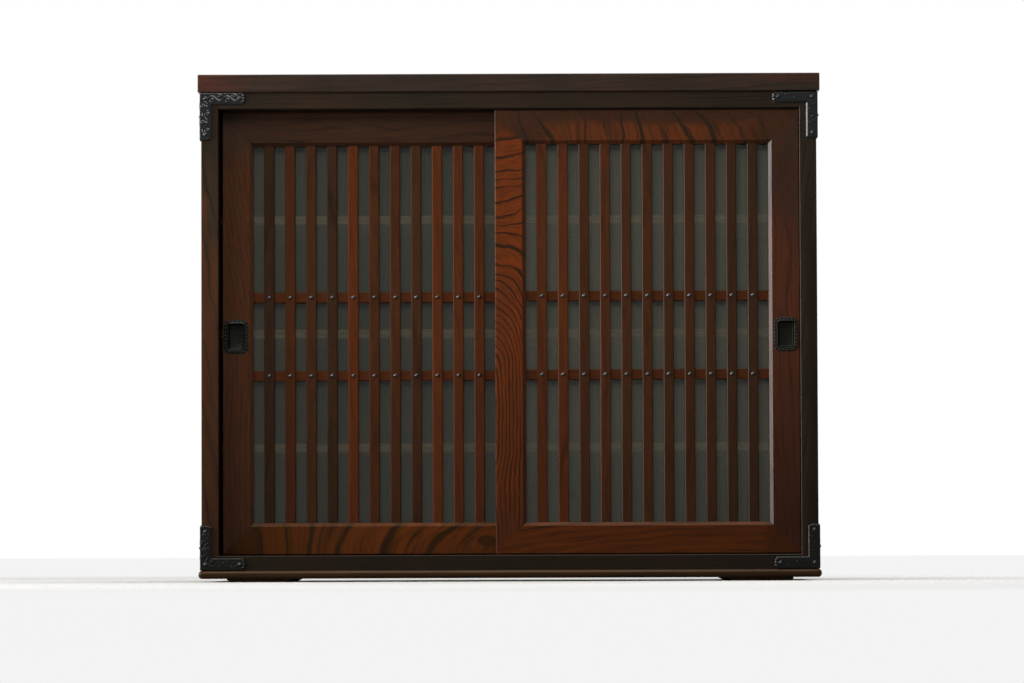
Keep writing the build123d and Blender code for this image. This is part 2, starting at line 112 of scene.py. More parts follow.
# ---- Arithmetic on fields, so that a material reads as formulas ----
class Field:
    """A number that varies over a surface. Arithmetic on it adds Math nodes to its node tree."""

    def __init__(self, tree, socket):
        self.tree = tree
        self.socket = socket

    def math(self, operation, *others):
        """The outcome of a Math node, for this field and the others, which may be numbers."""
        node = self.tree.nodes.new("ShaderNodeMath")
        node.operation = operation
        for place, value in enumerate((self, *others)):
            if isinstance(value, Field):
                self.tree.links.new(value.socket, node.inputs[place])
            else:
                node.inputs[place].default_value = value
        return Field(self.tree, node.outputs[0])

    def __add__(self, other):
        return self.math("ADD", other)

    def __sub__(self, other):
        return self.math("SUBTRACT", other)

    def __mul__(self, other):
        return self.math("MULTIPLY", other)

    def __truediv__(self, other):
        return self.math("DIVIDE", other)

    def __neg__(self):
        return self * -1

    __radd__ = __add__
    __rmul__ = __mul__

    def __rsub__(self, other):
        return -self + other

    def sqrt(self):
        return self.math("SQRT")

    def fract(self):
        return self.math("FRACT")

    def floor(self):
        return self.math("FLOOR")

    def at_most(self, other):
        return self.math("MINIMUM", other)

    def at_least(self, other):
        return self.math("MAXIMUM", other)

    def between(self, low, high, kind):
        """0 at low and 1 at high, also where low is the greater of the two."""
        node = self.tree.nodes.new("ShaderNodeMapRange")
        node.interpolation_type = kind
        self.tree.links.new(self.socket, node.inputs["Value"])
        node.inputs["From Min"].default_value = min(low, high)
        node.inputs["From Max"].default_value = max(low, high)
        if low > high:
            node.inputs["To Min"].default_value = 1
            node.inputs["To Max"].default_value = 0
        return Field(self.tree, node.outputs["Result"])

    def ramp(self, low, high):
        """0 before low, 1 past high, and straight between them."""
        return self.between(low, high, "LINEAR")

    def smooth(self, low, high):
        """0 before low, 1 past high, and smooth between them."""
        return self.between(low, high, "SMOOTHSTEP")


def ladder(value, rungs):
    """Rises by one from each rung to the next."""
    steps = [value.ramp(low, high) for low, high in zip(rungs, rungs[1:])]
    return sum(steps[1:], steps[0])


def lookup(number, values):
    """The value for a whole number from 0 up. Past the last one it stays the same."""
    level = number * 0 + values[0]
    for place, (before, after) in enumerate(zip(values, values[1:]), start=1):
        if before != after:
            level = level + number.math("GREATER_THAN", place - 0.5) * (after - before)
    return level


def vector_of(tree, parts):
    """A vector socket of three parts, each a field or a number."""
    node = tree.nodes.new("ShaderNodeCombineXYZ")
    for place, value in enumerate(parts):
        if isinstance(value, Field):
            tree.links.new(value.socket, node.inputs[place])
        else:
            node.inputs[place].default_value = value
    return node.outputs[0]


def noise(parts, detail=2, roughness=0.5):
    """Noise from -1 to 1, about one blob to each unit of the three parts.

    So the part x / 30 makes blobs that are 30 mm wide along x.
    """
    tree = next(part.tree for part in parts if isinstance(part, Field))
    node = tree.nodes.new("ShaderNodeTexNoise")
    node.inputs["Scale"].default_value = 1.0
    node.inputs["Detail"].default_value = detail
    node.inputs["Roughness"].default_value = roughness
    tree.links.new(vector_of(tree, parts), node.inputs["Vector"])
    return Field(tree, node.outputs[0]) * 2 - 1


def place_in_mm(tree):
    """x, y and z of the rest pose in millimetres."""
    coordinates = tree.nodes.new("ShaderNodeTexCoord")
    separate = tree.nodes.new("ShaderNodeSeparateXYZ")
    tree.links.new(coordinates.outputs["Object"], separate.inputs[0])
    return [Field(tree, output) * MM_PER_METRE for output in separate.outputs]


def linear(colour):
    """An sRGB colour of 0 to 255 as linear RGBA."""
    values = [c / 255 for c in colour]
    return [c / 12.92 if c <= 0.04045 else ((c + 0.055) / 1.055) ** 2.4 for c in values] + [1.0]


def mixed(first, second, share):
    """A colour socket between two colours. Each is an sRGB colour or a socket."""
    tree = share.tree
    node = tree.nodes.new("ShaderNodeMix")
    node.data_type = "RGBA"
    tree.links.new(share.socket, node.inputs[0])
    for place, value in zip(MIX_COLOUR_INPUTS, (first, second)):
        if isinstance(value, tuple):
            node.inputs[place].default_value = linear(value)
        else:
            tree.links.new(value, node.inputs[place])
    return node.outputs[MIX_COLOUR_OUTPUT]


def scaled(colour, factor):
    """A colour socket multiplied by a field."""
    node = factor.tree.nodes.new("ShaderNodeVectorMath")
    node.operation = "SCALE"
    factor.tree.links.new(colour, node.inputs[0])
    factor.tree.links.new(factor.socket, node.inputs["Scale"])
    return node.outputs[0]


def of_rays(tree, *kinds):
    """1 for rays of these kinds."""
    ray = tree.nodes.new("ShaderNodeLightPath")
    found = [Field(tree, ray.outputs[f"Is {kind} Ray"]) for kind in kinds]
    either = found[0]
    for other in found[1:]:
        either = either.at_least(other)
    return either


def mixed_shaders(share, first, second):
    """A node whose shader lies between those of two others."""
    tree = share.tree
    node = tree.nodes.new("ShaderNodeMixShader")
    tree.links.new(share.socket, node.inputs[0])
    tree.links.new(first.outputs[0], node.inputs[1])
    tree.links.new(second.outputs[0], node.inputs[2])
    return node


def new_material(name):
    """A new material, its tree and its Principled shader."""
    material = bpy.data.materials.new(name)
    material.use_nodes = True
    shader = material.node_tree.nodes["Principled BSDF"]
    return material, material.node_tree, shader


def bump(shader, height_mm):
    """Raises the shaded surface by a height in millimetres."""
    tree = height_mm.tree
    node = tree.nodes.new("ShaderNodeBump")
    node.inputs["Distance"].default_value = MM
    tree.links.new(height_mm.socket, node.inputs["Height"])
    tree.links.new(node.outputs[0], shader.inputs["Normal"])


# ---- Woods ----
class Wood:
    """A lacquered wood: the sRGB colours of its early wood, of its late wood and of its duller patches.

    cloudiness is how much of the duller tint comes through everywhere, and gloss the reflections' tint.
    """

    def __init__(self, light, dark, haze, roughness=0.28, specular=0.2, cloudiness=0.8,
                 gloss=(255, 255, 255)):
        self.light = light
        self.dark = dark
        self.haze = haze
        self.roughness = roughness
        self.specular = specular
        self.cloudiness = cloudiness
        self.gloss = gloss


# Painted reflection: real reflections of the bottom rails get a warm tint, as if they mirrored warm wood
# below the cabinet.
WARM_PAINTED_GLOSS = (255, 208, 150)
CENTRE_STILE = Wood((116, 53, 19), (46, 28, 14), (50, 32, 21), specular=0.12, cloudiness=0.5)
FLAME_RAIL = Wood((96, 48, 20), (42, 30, 19), (51, 33, 22), cloudiness=0.45, specular=0.15)
CATHEDRAL_RAIL = Wood((96, 48, 19), (43, 28, 16), (50, 29, 17), cloudiness=0.45, gloss=WARM_PAINTED_GLOSS)
SOFT_RAIL = Wood((95, 45, 18), (44, 25, 15), (54, 28, 17), cloudiness=0.5, gloss=WARM_PAINTED_GLOSS)
BROWN_DOOR = Wood((72, 42, 22), (38, 23, 13), (52, 37, 26), cloudiness=0.4)
LEFT_STILE = Wood((79, 43, 20), (41, 24, 13), (55, 39, 27), cloudiness=0.3)
RIGHT_STILE = Wood((84, 43, 24), (44, 26, 16), (54, 36, 26), cloudiness=0.2)
RED_BAR = Wood((95, 48, 23), (68, 34, 17), (83, 39, 20), specular=0.07)
BROWN_BAR = Wood((61, 41, 27), (47, 31, 21), (55, 37, 25), specular=0.07)
CASE_WOOD = Wood((52, 44, 36), (36, 30, 24), (54, 40, 30), specular=0.08, gloss=(255, 232, 208))
TOP_WOOD = Wood((52, 42, 33), (37, 30, 23), (90, 48, 36), cloudiness=0.15)
LEFT_SIDE = Wood((52, 44, 34), (35, 28, 21), (78, 45, 28), specular=0.08, cloudiness=0.15)
SILL_WOOD = Wood((42, 34, 25), (32, 26, 19), (42, 30, 21), specular=0.12)
# The nosing's reflections get the same kind of painted warm tint.
NOSING_WOOD = Wood((54, 38, 24), (38, 27, 18), (60, 36, 21), specular=0.28, gloss=(255, 212, 168))
PLAIN_WOOD = Wood((114, 87, 62), (76, 56, 39), (98, 72, 52), roughness=0.6, specular=0.15)
# Painted shade: the back panel is darker than the shelves, for the dim inside of the case.
SHADED_PANEL_WOOD = Wood((72, 57, 42), (44, 34, 25), (56, 43, 32), roughness=0.6, specular=0.15)

# Painted shade: each wood's colour is scaled darker from HALF_HEIGHT down to FOOT_HEIGHT, for the weaker
# light low down.
FOOT_HEIGHT, HALF_HEIGHT = 20, 460
# How much each pattern moves a wood's lightness, its roughness and its surface, that in millimetres.
FINE_TONE, GRAIN_TONE, CLOUD_TONE, PORE_TONE = 0.16, 0.2, 0.2, 0.34
PORE_ROUGHNESS, CLOUD_ROUGHNESS, LATE_ROUGHNESS, WORN_ROUGHNESS = 0.16, 0.03, 0.04, 0.4
FINE_RELIEF, PORE_RELIEF, LATE_RELIEF = 0.008, 0.03, 0.012


def along_and_across(point, fibre):
    """The coordinate along the fibres, and the two across them."""
    axes = {"x": (0, 1, 2), "y": (1, 2, 0), "z": (2, 0, 1)}[fibre]
    return [point[place] for place in axes]


def late_wood(share, width, rise):
    """How dark the late wood is at a share of a ring: it comes up from rise, and fades over a width."""
    fading = (1.0 - share / width).at_least(0.0).smooth(0.0, 0.85)
    return fading.at_least(share.smooth(rise, 1.0) * 0.8)


def wood_material(name, wood, fibre, phase, seed=0.0, contrast=1.0, line=0.16, rise=0.8, tone=1.0,
                  streaks=1.0, dash=(40, 8), patch=None, shade=None, strength=None, foot=0.84,
                  waver=0.10, worn=None):
    """Growth rings at whole values of phase, and finer lines beside them, over fibres and pores.

    contrast is how dark the late wood is, and line the share of a ring that it takes, both as a number
    or by place, and rise is where it starts to darken. strength gives how bold each ring is by its
    number; without it that comes from noise. streaks is how strong the finer lines are, and dash their
    length along the fibres and across them. patch gives how strongly the tint comes through at a place,
    besides a slow cloud of it everywhere, and shade how much darker the wood is there. tone scales the
    lightness, and foot is how light the wood is low down, against 1 at half height: painted shade, for
    the weaker light low down. waver is how far a ring strays, in rings, and worn gives where the lacquer
    has lost its gloss.
    """
    material, tree, shader = new_material(name)
    point = place_in_mm(tree)
    along, across, through = along_and_across(point, fibre)
    warp = noise([across / 9, through / 9, along / 45 + seed])
    ring = phase(*point) + warp * waver + seed
    share = ring.fract()
    width = line(*point) if callable(line) else line
    depth = contrast(*point) if callable(contrast) else contrast
    late = late_wood(share, width, rise)
    if strength:
        uneven = noise([along / 30, across / 15, seed]) * 0.5 + 1.0
        bold = lookup((ring + (1.0 - rise)).floor(), strength) * uneven
    else:
        bold = noise([ring.floor() * 0.73 + seed, along / 110, across / 60]) * 0.9 + 0.85
    coarse = noise([ring * 3.3 + seed, along / dash[0], across / dash[1]])
    minor = noise([ring * 9, along / dash[0] + seed, across / dash[1]])
    grain = noise([across / 2.4, through / 2.4, along / 55 + seed], detail=3, roughness=0.6)
    fine = noise([across / 0.7, through / 0.7, along / 30 + seed], detail=4, roughness=0.65)
    pores = noise([across / 0.45, through / 0.45, along / 7 + seed], detail=1).smooth(0.34, 0.6)
    cloud = noise([across / 45, through / 60, along / 90 + seed])
    streak = (coarse * 1.1 + minor * 0.9 + grain * 0.5) * streaks
    darkness = (late * bold * depth + streak * 0.75 + 0.12).at_most(1.0).at_least(0.0)
    if shade:
        darkness = darkness.at_least(shade(*point))
    colour = mixed(wood.light, wood.dark, darkness)
    tint = (cloud + minor * 0.6).smooth(-0.35, 0.45) * wood.cloudiness
    if patch:
        tint = tint.at_least(patch(*point))
    colour = mixed(colour, wood.haze, tint * (1.0 - darkness * 0.8))
    level = (fine * FINE_TONE + grain * GRAIN_TONE + cloud * CLOUD_TONE + 1.0) * (1.0 - pores * PORE_TONE)
    # Painted shade: the colour is darker towards the foot, down to foot at FOOT_HEIGHT.
    level = level * tone * (point[2].smooth(FOOT_HEIGHT, HALF_HEIGHT) * (1.0 - foot) + foot)
    tree.links.new(scaled(colour, level), shader.inputs["Base Color"])
    rough = pores * PORE_ROUGHNESS + cloud * CLOUD_ROUGHNESS + late * LATE_ROUGHNESS + wood.roughness
    if worn:
        rough = rough + worn(*point) * WORN_ROUGHNESS
    tree.links.new(rough.socket, shader.inputs["Roughness"])
    shader.inputs["Specular IOR Level"].default_value = wood.specular
    shader.inputs["Specular Tint"].default_value = linear(wood.gloss)
    bump(shader, fine * FINE_RELIEF - pores * PORE_RELIEF - late * LATE_RELIEF)
    return material


def log_phase(fibre, pith, lean, spacing, wave=0.5):
    """Rings round a pith that passes through a point across the fibres and leans as it goes."""

    def phase(x, y, z):
        along, across, through = along_and_across((x, y, z), fibre)
        sway = noise([along / 150, across / 300, pith[0] * 0.37]) * 9
        first = across - pith[0] - along * lean[0] + sway
        second = through - pith[1] - along * lean[1]
        distance = (first * first + second * second).sqrt()
        return distance / spacing + noise([along / 90, across / 40, through / 40]) * wave

    return phase


# ---- Figures laid out as the photograph shows them, in millimetres ----
RAIL_WIDTH = 44
RING_LEAN = 0.01  # rings for each millimetre into the wood


def fan(value, share, low_rungs, high_rungs):
    """Rings whose places are given along two edges, and that run from the one to the other."""
    return ladder(value, low_rungs) * (1.0 - share) + ladder(value, high_rungs) * share


CENTRE_STILE_LEFT = -20.5
CENTRE_STILE_WIDTH = 42
CENTRE_STILE_FRONT = front_of("right_door_left_stile")
# Heights at which the rings meet the left and the right edge of the centre stile, from the top down.
LEFT_EDGE_RINGS = (
    690, 646, 619, 599, 587, 575, 554, 530, 520, 510, 494, 464, 448, 440, 429, 413, 401, 390, 380, 370, 359,
    346, 332, 314, 290)
RIGHT_EDGE_RINGS = (
    695, 650, 627, 603, 589, 579, 564, 545, 525, 504, 480, 441, 410, 396, 365, 330, 290)


def centre_stile_phase(x, y, z):
    """Rings that cross the upper stile, arch over, and run down the lower one side by side."""
    share = (x + (y - CENTRE_STILE_FRONT) * 0.3 - CENTRE_STILE_LEFT) / CENTRE_STILE_WIDTH
    lean = z.smooth(200, 130) * 0.25 - z.smooth(120, 50) * 0.1
    ripple = noise([x / 18, z / 18, y / 60], detail=1) * (0.2 - z.smooth(580, 640) * 0.15)
    bent = share * (share * 0.6 + 0.4)
    shifted = bent + (share - bent) * z.smooth(330, 290) + lean * (1.0 - share)
    sway = noise([z / 90, x / 90, 3.1]) * 0.5 * z.smooth(340, 280)
    return fan(z, shifted, LEFT_EDGE_RINGS, RIGHT_EDGE_RINGS) + ripple + sway


def centre_stile_contrast(x, y, z):
    """Late wood stands out less down the stile."""
    return 1.1 - z.smooth(200, 80) * 0.25


def centre_stile_painted_shade(x, y, z):
    """Painted shade: darkens the chamfer along the glass, which faces away from the light."""
    return (x - CENTRE_STILE_LEFT).smooth(38, 40) * 0.6


def left_edge_worn(x, y, z):
    """The right door's left edge has lost its gloss below the head, and above all low down."""
    edge = (x - CENTRE_STILE_LEFT).smooth(2.5, 1.5)
    return edge * (z.smooth(600, 480) * 0.5 + z.smooth(480, 300) * 0.5)


def centre_stile_line(x, y, z):
    """Late wood takes more of a ring where the rings lie close."""
    return z.smooth(560, 400) * 0.12 + z.smooth(380, 300) * 0.16 + 0.15


def centre_stile_patch(x, y, z):
    """The stile is duller at its head, towards its foot and in a few places between."""
    cloud = noise([x / 18, z / 30, 4.0]) * 16
    dull = noise([x / 26, z / 20, 8.0]).smooth(-0.1, 0.6) * 0.6
    return (z + cloud).smooth(646, 664).at_least((z + cloud).smooth(190, 60) * 0.6).at_least(dull) * 0.95


# Where the rings meet the upper and the lower edge of the right door's top rail, and how bold each is.
FLAME_TOP_RINGS = (-60, 12, 34, 60, 86, 111, 134, 163, 186, 212, 239, 271, 320, 357, 400, 440)
FLAME_FOOT_RINGS = (-40, 27, 64, 85, 98, 111, 145, 166, 195, 230, 268, 300, 346, 378, 420, 460)
FLAME_STRENGTHS = (0.2, 0.85, 0.95, 0.3, 0.4, 1.0, 0.5, 0.95, 0.95, 0.4, 0.9, 0.9, 0.9, 0.6, 0.3, 0.2)
FLAME_TOP = 686
FLAME_BEND = 0.45
FLAME_FRONT = front_of("right_door_top_rail")


def flame_phase(x, y, z):
    """Rings that cross the right door's top rail, leaning at its ends."""
    down = (FLAME_TOP - z) / RAIL_WIDTH
    bent = down * (1.0 + FLAME_BEND - down * FLAME_BEND)
    wander = noise([x / 30, z / 30, 7.7]) * 3
    return fan(x + wander, bent, FLAME_TOP_RINGS, FLAME_FOOT_RINGS) + (y - FLAME_FRONT) * RING_LEAN


def flame_patch(x, y, z):
    """The right door's top rail is duller along its upper edge and at both ends."""
    cloud = noise([x / 30, z / 20, 2.0]) * 14
    ends = (x + cloud).smooth(75, 40).at_least((x + cloud).smooth(290, 395))
    return ends.at_least((z + cloud * 0.7).smooth(660, 679)) * 0.9


# The same for the left door's bottom rail.
CATHEDRAL_TOP_RINGS = (-440, -378, -352, -331, -311, -291, -264, -237, -203, -166, -124, -80, -40, 0, 40)
CATHEDRAL_FOOT_RINGS = (-430, -365, -345, -326, -311, -296, -276, -256, -224, -189, -158, -124, -85, -40, 10)
CATHEDRAL_STRENGTHS = (0.2, 0.6, 0.2, 1.3, 0.3, 1.1, 0.4, 1.1, 0.3, 1.1, 0.35, 1.0, 0.4, 0.2, 0.2)
CATHEDRAL_TOP = 82
CATHEDRAL_BEND = 0.7
CATHEDRAL_FRONT = front_of("left_door_bottom_rail")
EYE_X, EYE_Z = -33, 59
EYE_HALF_LENGTH, EYE_HALF_HEIGHT = 17, 10


def cathedral_phase(x, y, z):
    """Broad bands across the left door's bottom rail, wider and more slanted to the right."""
    down = (CATHEDRAL_TOP - z) / RAIL_WIDTH
    bent = down * (1.0 + CATHEDRAL_BEND - down * CATHEDRAL_BEND)
    wander = noise([x / 40, z / 30, 1.9]) * 5
    rings = fan(x + wander, bent, CATHEDRAL_TOP_RINGS, CATHEDRAL_FOOT_RINGS)
    return rings + (y - CATHEDRAL_FRONT) * RING_LEAN


def cathedral_shade(x, y, z):
    """A dark eye at the right end of the left door's bottom rail, with a loop round it."""
    wander = noise([x / 20, z / 20, 5.0]) * 6
    eye_x = (x + wander - EYE_X) / EYE_HALF_LENGTH
    eye_z = (z - EYE_Z) / EYE_HALF_HEIGHT
    radius = (eye_x * eye_x + eye_z * eye_z).sqrt()
    loop = radius.smooth(1.7, 2.0) * radius.smooth(2.4, 2.1) * 0.4
    return (radius.smooth(1.1, 0.7) * 0.85).at_least(loop)


def cathedral_patch(x, y, z):
    """The left door's bottom rail is as brown as the stile at its left end."""
    return (noise([x / 20, z / 20, 6.0]) * 10 + x).smooth(-352, -370)


SOFT_SPACING = 11
SOFT_MIDDLE_X = 200
SOFT_ROUND = 4200


def soft_phase(x, y, z):
    """Long low rings along the right door's bottom rail."""
    arch = (x - SOFT_MIDDLE_X) * (x - SOFT_MIDDLE_X) / SOFT_ROUND
    return (z - x * 0.07 + arch) / SOFT_SPACING + noise([x / 90, z / 25, 0.4]) * 0.5 + y * 0.02


LEFT_STILE_SPACING = 7.5
LEFT_STILE_MIDDLE_Z = 400


def left_stile_phase(x, y, z):
    """Rings that lean to the right on their way down the left stile, and straighten near the foot."""
    lean = z.smooth(200, 420) * 0.16 + 0.02
    across = x + lean * (z - LEFT_STILE_MIDDLE_Z) + y * 0.2
    return across / LEFT_STILE_SPACING + noise([x / 30, z / 160, 2.2]) * 0.7


def soft_rail_patch(x, y, z):
    """The right door's bottom rail is as brown as the stile at its right end."""
    return (noise([x / 20, z / 20, 2.0]) * 8 + x).smooth(362, 380) * 0.9


def left_stile_patch(x, y, z):
    """The left stile is duller at its head."""
    return (noise([x / 30, z / 60, 9.0]) * 40 + z).smooth(600, 660) * 0.9


def right_stile_patch(x, y, z):
    """The right stile is duller down to two thirds of its height."""
    return (noise([x / 16, z / 90, 3.0]) * 60 + z + (x - 384) * 1.2).smooth(470, 590) * 0.9


# ---- Doors ----
def dress(node, material):
    """Gives a CAD node its material."""
    mesh = cad_nodes[node].data
    mesh.materials.clear()
    mesh.materials.append(material)


# In these calls and in the ones below, foot is painted shade: how light each wood is painted low down.
dress("right_door_left_stile", wood_material(
    "centre_stile_wood", CENTRE_STILE, "z", centre_stile_phase, contrast=centre_stile_contrast,
    line=centre_stile_line, rise=0.86, dash=(25, 25), streaks=0.7, patch=centre_stile_patch,
    shade=centre_stile_painted_shade, foot=0.68, waver=0.05, worn=left_edge_worn))
dress("right_door_top_rail", wood_material(
    "flame_rail_wood", FLAME_RAIL, "x", flame_phase, contrast=0.95, line=0.24, rise=0.88, dash=(25, 25),
    streaks=1.3, patch=flame_patch, strength=FLAME_STRENGTHS))
dress("left_door_bottom_rail", wood_material(
    "cathedral_rail_wood", CATHEDRAL_RAIL, "x", cathedral_phase, line=0.4, rise=0.84, dash=(30, 30),
    streaks=1.3, patch=cathedral_patch, shade=cathedral_shade, strength=CATHEDRAL_STRENGTHS))
dress("right_door_bottom_rail", wood_material(
    "soft_rail_wood", SOFT_RAIL, "x", soft_phase, seed=0.6, contrast=0.55, line=0.45, rise=0.5, dash=(90, 16),
    streaks=0.7, patch=soft_rail_patch, worn=left_edge_worn))
dress("left_door_top_rail", wood_material(
    "left_top_rail_wood", BROWN_DOOR, "x", log_phase("x", (60, 560), (0.02, 0.05), 7.5), seed=4.4,
    contrast=0.55, tone=0.77))
dress("left_door_left_stile", wood_material(
    "left_stile_wood", LEFT_STILE, "z", left_stile_phase, seed=1.7, contrast=0.6, tone=1.15,
    patch=left_stile_patch, foot=0.7))
dress("left_door_right_stile", wood_material(
    "left_meeting_stile_wood", BROWN_DOOR, "z", log_phase("z", (40, -90), (0.02, 0.05), 5.0), seed=2.9,
    contrast=0.6))
dress("right_door_right_stile", wood_material(
    "right_stile_wood", RIGHT_STILE, "z", log_phase("z", (470, -120), (-0.09, 0.02), 6.5), seed=5.1,
    contrast=0.5, streaks=0.7, dash=(60, 3), patch=right_stile_patch, foot=0.40))

draw = random.Random(7)
SEED_SPAN = 50
LATTICE_RAIL_REDNESS = 0.75
# How red each bar is, from the left: 0 is dark brown and 1 is red.
BAR_REDNESS = {
    "left_door": (0.0, 0.6, 0.3, 0.0, 1.0, 0.5, 0.45, 0.2, 0.9, 0.8, 0.7),
    "right_door": (0.7, 0.85, 0.35, 0.55, 0.3, 0.4, 0.25, 0.35, 0.25, 0.1, 0.05),
}


def bar_wood(redness):
    """A wood between the brown and the red of the bars."""

    def colour(brown, red):
        return tuple(low + (high - low) * redness for low, high in zip(brown, red))

    return Wood(colour(BROWN_BAR.light, RED_BAR.light), colour(BROWN_BAR.dark, RED_BAR.dark),
                colour(BROWN_BAR.haze, RED_BAR.haze), specular=BROWN_BAR.specular)


for door, rednesses in BAR_REDNESS.items():
    for number, redness in enumerate(rednesses, start=1):
        node = f"{door}_bar_{number}"
        pith = (draw.uniform(-30, 30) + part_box(node)[0].x * MM_PER_METRE, draw.uniform(-60, 60))
        lean = (draw.uniform(-0.03, 0.03), draw.uniform(-0.02, 0.02))
        dress(node, wood_material(
            f"{node}_wood", bar_wood(redness), "z", log_phase("z", pith, lean, 3.2, 0.3),
            seed=draw.uniform(0, SEED_SPAN), contrast=0.55, tone=draw.uniform(0.94, 1.06), foot=0.74))
    for rail in ("lower_lattice_rail", "upper_lattice_rail"):
        node = f"{door}_{rail}"
        dress(node, wood_material(
            f"{node}_wood", bar_wood(LATTICE_RAIL_REDNESS), "x",
            log_phase("x", (-100, 250), (0.01, 0.01), 3.0, 0.3),
            seed=draw.uniform(0, SEED_SPAN), contrast=0.5))
    node = f"{door}_glazing_beads"
    dress(node, wood_material(
        f"{node}_wood", BROWN_BAR, "z", log_phase("z", (0, 200), (0.0, 0.0), 4.0), seed=8.8, contrast=0.5))


# ---- Case boards ----
def on_front(node, y):
    """1 on the front face of a node."""
    return y.smooth(front_of(node) + 5, front_of(node) + 1)


def red_ends(x, y, z):
    """The front of the top board is redder towards its left end, and a little along the top at the right."""
    sway = noise([x / 45, y / 60, z / 9], detail=3)
    left = (sway * 70 + x).smooth(-340, -460) * ((z + sway * 5).smooth(717, 733) * 0.4 + 0.55)
    right = (sway * 60 + x).smooth(300, 440) * (z + sway * 4).smooth(724, 734) * 0.45
    return left.at_least(right) * on_front("top_board", y)


def red_left_side(x, y, z):
    """The front of the left side is redder below the iron, above all along its outer edge."""
    sway = noise([x / 12, y / 20, z / 80])
    edge = (sway * 5 + x).smooth(-438, -446) * (z + sway * 40).smooth(620, 560)
    return edge.at_least((z + sway * 60).smooth(560, 430) * 0.75) * on_front("left_side", y)


def dark_left_head(x, y, z):
    """The front of the left side is darker at its head."""
    return (noise([x / 12, y / 20, z / 50]) * 30 + z).smooth(560, 650) * on_front("left_side", y) * 0.7


def dark_right_edge(x, y, z):
    """The front of the right side is darker in its lower part, towards its outer edge."""
    sway = noise([x / 12, y / 20, z / 70])
    edge = (sway * 9 + x).smooth(430, 444) * (z + sway * 60).smooth(560, 470)
    return edge * on_front("right_side", y) * 0.9


CASE_GRAIN = {
    # node: wood, fibre, pith, lean, spacing, what else sets its material apart
    "top_board": (TOP_WOOD, "x", (60, 500), (0.01, 0.06), 7.0, {"tone": 0.94, "patch": red_ends}),
    "bottom_board": (NOSING_WOOD, "x", (-40, -200), (0.02, 0.05), 7.0, {}),
    "left_side": (LEFT_SIDE, "z", (-520, 60), (0.03, 0.06), 6.0,
                  {"foot": 0.6, "patch": red_left_side, "shade": dark_left_head}),
    "right_side": (CASE_WOOD, "z", (560, -60), (0.02, 0.08), 6.0,
                   {"tone": 0.88, "foot": 0.75, "shade": dark_right_edge}),
    "case_top_rail": (CASE_WOOD, "x", (-160, 900), (0.01, 0.02), 6.0, {"tone": 0.88}),
    "sill": (SILL_WOOD, "x", (-150, -60), (0.02, 0.03), 6.0, {"tone": 0.93}),
}
for node, (wood, fibre, pith, lean, spacing, extras) in CASE_GRAIN.items():
    dress(node, wood_material(
        f"{node}_wood", wood, fibre, log_phase(fibre, pith, lean, spacing), seed=draw.uniform(0, SEED_SPAN),
        contrast=0.75, dash=(120, 15), **extras))

PLAIN_GRAIN = {
    "lower_shelf": (PLAIN_WOOD, "x"), "middle_shelf": (PLAIN_WOOD, "x"), "upper_shelf": (PLAIN_WOOD, "x"),
    "shelf_cleats": (PLAIN_WOOD, "y"), "back_panel": (SHADED_PANEL_WOOD, "z"), "left_runner": (PLAIN_WOOD, "y"),
    "right_runner": (PLAIN_WOOD, "y"),
}
for node, (wood, fibre) in PLAIN_GRAIN.items():
    dress(node, wood_material(
        f"{node}_wood", wood, fibre, log_phase(fibre, (90, 300), (0.03, 0.05), 6.0),
        seed=draw.uniform(0, SEED_SPAN), contrast=0.7, streaks=0.8))


# ---- Glass ----
GLASS_COLOUR = (244, 249, 244)
GLASS_SHADOW = (236, 243, 238)
GLASS_HAZE = (241, 239, 212)


def glass_material(name, film):
    """Clear old glass under a haze as thick as film(z). It lets the lamps' light through to the shelves."""
    material, tree, shader = new_material(name)
    shader.inputs["Base Color"].default_value = linear(GLASS_COLOUR)
    shader.inputs["Roughness"].default_value = 0.0
    shader.inputs["IOR"].default_value = 1.5
    shader.inputs["Specular IOR Level"].default_value = 0.15
    shader.inputs["Transmission Weight"].default_value = 1.0
    x, y, z = place_in_mm(tree)
    smear = noise([x / 90, y / 90, z / 140], detail=3) * 0.01
    haze = tree.nodes.new("ShaderNodeBsdfDiffuse")
    haze.inputs["Color"].default_value = linear(GLASS_HAZE)
    clear = tree.nodes.new("ShaderNodeBsdfTransparent")
    clear.inputs["Color"].default_value = linear(GLASS_SHADOW)
    pane = mixed_shaders(smear + film(z), shader, haze)
    surface = mixed_shaders(of_rays(tree, "Shadow", "Diffuse"), pane, clear)
    tree.links.new(surface.outputs[0], tree.nodes["Material Output"].inputs["Surface"])
    return material


def left_film(z):
    """The left pane's haze grows a little towards its head."""
    return z.smooth(200, 560) * 0.005 + 0.0365


def right_film(z):
    """The right pane's haze is thinnest at its foot, and a little thinner again at its head."""
    return z.smooth(110, 230) * 0.014 + z.smooth(240, 420) * 0.004 - z.smooth(500, 620) * 0.005 + 0.05


dress("left_door_glass", glass_material("left_glass", left_film))
dress("right_door_glass", glass_material("right_glass", right_film))


# ---- Metal ----
SPECKLE_MM = 0.5
SPECKLE_ROUGHNESS, HAMMER_ROUGHNESS, HAMMER_TONE = 0.06, 0.04, 0.2


def iron_material(name, colour, roughness, index, grain_mm, relief_mm, grit_mm=0.015):
    """Hammered metal under a dark lacquer of some refractive index, a little uneven.

    grain_mm is the size of the hammered dents and relief_mm their depth, and grit_mm that of the speckle.
    """
    material, tree, shader = new_material(name)
    point = place_in_mm(tree)
    hammer = noise([part / grain_mm for part in point])
    speckle = noise([part / SPECKLE_MM for part in point])
    pale = tuple(c * 1.5 + 6 for c in colour)
    colours = mixed(colour, pale, speckle.smooth(0.1, 0.8) * 0.5)
    tree.links.new(scaled(colours, hammer * HAMMER_TONE + 1.0), shader.inputs["Base Color"])
    rough = speckle * SPECKLE_ROUGHNESS + hammer * HAMMER_ROUGHNESS + roughness
    tree.links.new(rough.socket, shader.inputs["Roughness"])
    shader.inputs["IOR"].default_value = index
    bump(shader, hammer * relief_mm + speckle * grit_mm)
    return material


